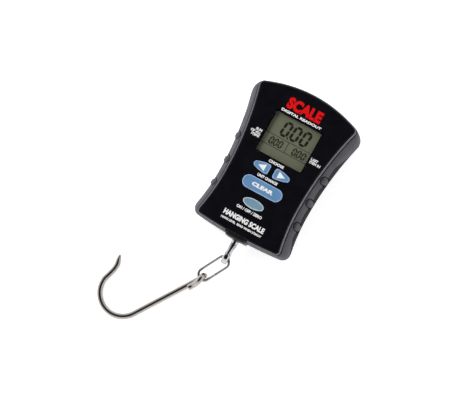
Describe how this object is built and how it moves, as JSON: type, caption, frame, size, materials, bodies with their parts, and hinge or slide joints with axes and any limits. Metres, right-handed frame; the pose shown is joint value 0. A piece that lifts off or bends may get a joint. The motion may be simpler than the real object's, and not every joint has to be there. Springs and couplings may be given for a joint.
{
  "type": "digital fish scale",
  "caption": "Hand-held hanging scale with a waisted case, a display, push keys and a swivelling hook on a chain link that weighs a caught fish.",
  "frame": {"origin": "middle of the case's flat back face, which rests on z = 0", "axes": "+Z out of the face with the display, +Y along the case to its display end, +X to the right as the display is read"},
  "size_m": [0.1148, 0.204, 0.0257],
  "materials": {
    "black_gloss": "glossy",
    "grey_grip": "satin",
    "grey_back": "matt",
    "clear_window": "clear",
    "lcd_glass": "satin",
    "dark_rubber": "matt",
    "board_green": "satin",
    "key_blue": "satin",
    "key_teal": "satin",
    "chrome": "polished",
    "steel": "plated",
    "aluminium": "anodised",
    "brass": "plain",
    "battery_jacket": "glossy"
  },
  "bodies": {
    "case": {"back_cover": "grey_back", "grip_frame": "grey_grip", "front_cover": "black_gloss", "display_window": "clear_window", "lcd_panel": "lcd_glass", "lcd_connector": "dark_rubber", "circuit_board": "board_green", "keypad_membrane": "dark_rubber", "board_screw_upper": "steel", "board_screw_lower": "steel", "case_screw_upper_left": "steel", "case_screw_upper_right": "steel", "case_screw_lower_left": "steel", "case_screw_lower_right": "steel", "load_cell": "aluminium", "anchor_bracket": "steel", "anchor_bolt": "steel", "bracket_screw_left": "steel", "bracket_screw_right": "steel", "load_cell_wires": "dark_rubber", "neck_collar": "dark_rubber", "battery_left": "battery_jacket", "battery_right": "battery_jacket", "contact_spring_left": "steel", "contact_spring_right": "steel", "terminal_left": "steel", "terminal_right": "steel", "bridge_contact": "steel"},
    "previous_key": {"key_previous": "key_blue"},
    "next_key": {"key_next": "key_blue"},
    "clear_key": {"key_clear": "key_blue"},
    "power_key": {"key_power": "key_teal"},
    "door": {"battery_door": "grey_back"},
    "swivel_rod": {"hook_rod": "chrome", "rod_washer": "steel", "rod_nut": "brass"},
    "chain_link": {"link": "chrome"},
    "scale_hook": {"hook": "chrome"}
  },
  "joints": [
    {"name": "previous_key_press", "type": "slide", "parent": "case", "child": "previous_key", "axis": [0, 0, -1], "range_m": [0, 0.0008], "stiffness_N_per_m": 1200},
    {"name": "next_key_press", "type": "slide", "parent": "case", "child": "next_key", "axis": [0, 0, -1], "range_m": [0, 0.0008], "stiffness_N_per_m": 1200},
    {"name": "clear_key_press", "type": "slide", "parent": "case", "child": "clear_key", "axis": [0, 0, -1], "range_m": [0, 0.0008], "stiffness_N_per_m": 1200},
    {"name": "power_key_press", "type": "slide", "parent": "case", "child": "power_key", "axis": [0, 0, -1], "range_m": [0, 0.0008], "stiffness_N_per_m": 1200},
    {"name": "battery_door_slide", "type": "slide", "parent": "case", "child": "door", "axis": [0, 1, 0], "range_m": [0, 0.05]},
    {"name": "rod_swivel", "type": "hinge", "parent": "case", "child": "swivel_rod", "pos_m": [0, -0.05, 0.0124], "axis": [0, 1, 0], "continuous": true},
    {"name": "link_swing", "type": "hinge", "parent": "swivel_rod", "child": "chain_link", "pos_m": [0, -0.0705, 0.0124], "axis": [1, 0, 0], "range_deg": [-85, 55]},
    {"name": "hook_swing", "type": "hinge", "parent": "chain_link", "child": "scale_hook", "pos_m": [-0.01031, -0.09218, 0.00617], "axis": [0.8368, -0.5476, 0], "range_deg": [-38, 85]}
  ]
}
